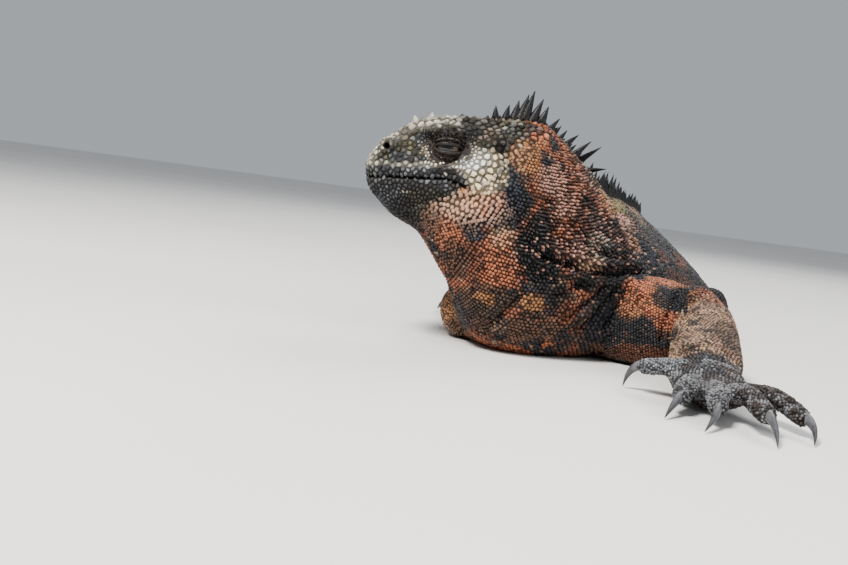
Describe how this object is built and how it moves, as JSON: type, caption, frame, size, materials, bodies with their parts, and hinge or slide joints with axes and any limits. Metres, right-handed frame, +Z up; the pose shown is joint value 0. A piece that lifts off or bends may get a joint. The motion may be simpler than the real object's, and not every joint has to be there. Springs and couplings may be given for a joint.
{
  "type": "marine iguana model",
  "caption": "Life-size marine iguana lying on its belly, head raised and turned to its right, left hand forward, with a spined crest and a long tail.",
  "frame": {"origin": "on the floor under the shoulders, in the middle of the flat that the chest rests on", "axes": "+Z up, -Y along the trunk towards the head end, +X towards the animal's left"},
  "size_m": [0.1896, 0.8074, 0.1128],
  "materials": {
    "head_skin": "crusted pale grey scales and cones over dark olive skin, dull",
    "red_skin": "small bead scales, rust red and orange with black patches, slight sheen",
    "dark_skin": "small bead scales, charcoal with rust and ochre patches, slight sheen",
    "limb_skin": "rows of small keeled scales, tan and orange brown over black skin, slight sheen",
    "hand_skin": "charcoal bead scales, dull",
    "claw": "smooth grey horn with a darker tip",
    "eye": "wet dark brown eye with a round pupil"
  },
  "bodies": {
    "root": {"head": "head_skin", "eye_left": "eye", "eye_right": "eye", "neck": "red_skin", "torso": "dark_skin", "tail_base": "dark_skin", "tail_middle": "dark_skin", "tail_rear": "dark_skin", "tail_tip": "dark_skin", "left_arm_upper": "limb_skin", "left_arm_lower": "limb_skin", "right_arm_upper": "limb_skin", "right_arm_lower": "limb_skin", "left_leg_upper": "dark_skin", "left_leg_lower": "dark_skin", "right_leg_upper": "dark_skin", "right_leg_lower": "dark_skin", "left_hand": "hand_skin", "left_hand_claw_1": "claw", "left_hand_claw_2": "claw", "left_hand_claw_3": "claw", "left_hand_claw_4": "claw", "left_hand_claw_5": "claw", "right_hand": "hand_skin", "right_hand_claw_1": "claw", "right_hand_claw_2": "claw", "right_hand_claw_3": "claw", "right_hand_claw_4": "claw", "right_hand_claw_5": "claw", "left_foot": "hand_skin", "left_foot_claw_1": "claw", "left_foot_claw_2": "claw", "left_foot_claw_3": "claw", "left_foot_claw_4": "claw", "left_foot_claw_5": "claw", "right_foot": "hand_skin", "right_foot_claw_1": "claw", "right_foot_claw_2": "claw", "right_foot_claw_3": "claw", "right_foot_claw_4": "claw", "right_foot_claw_5": "claw"}
  },
  "joints": []
}
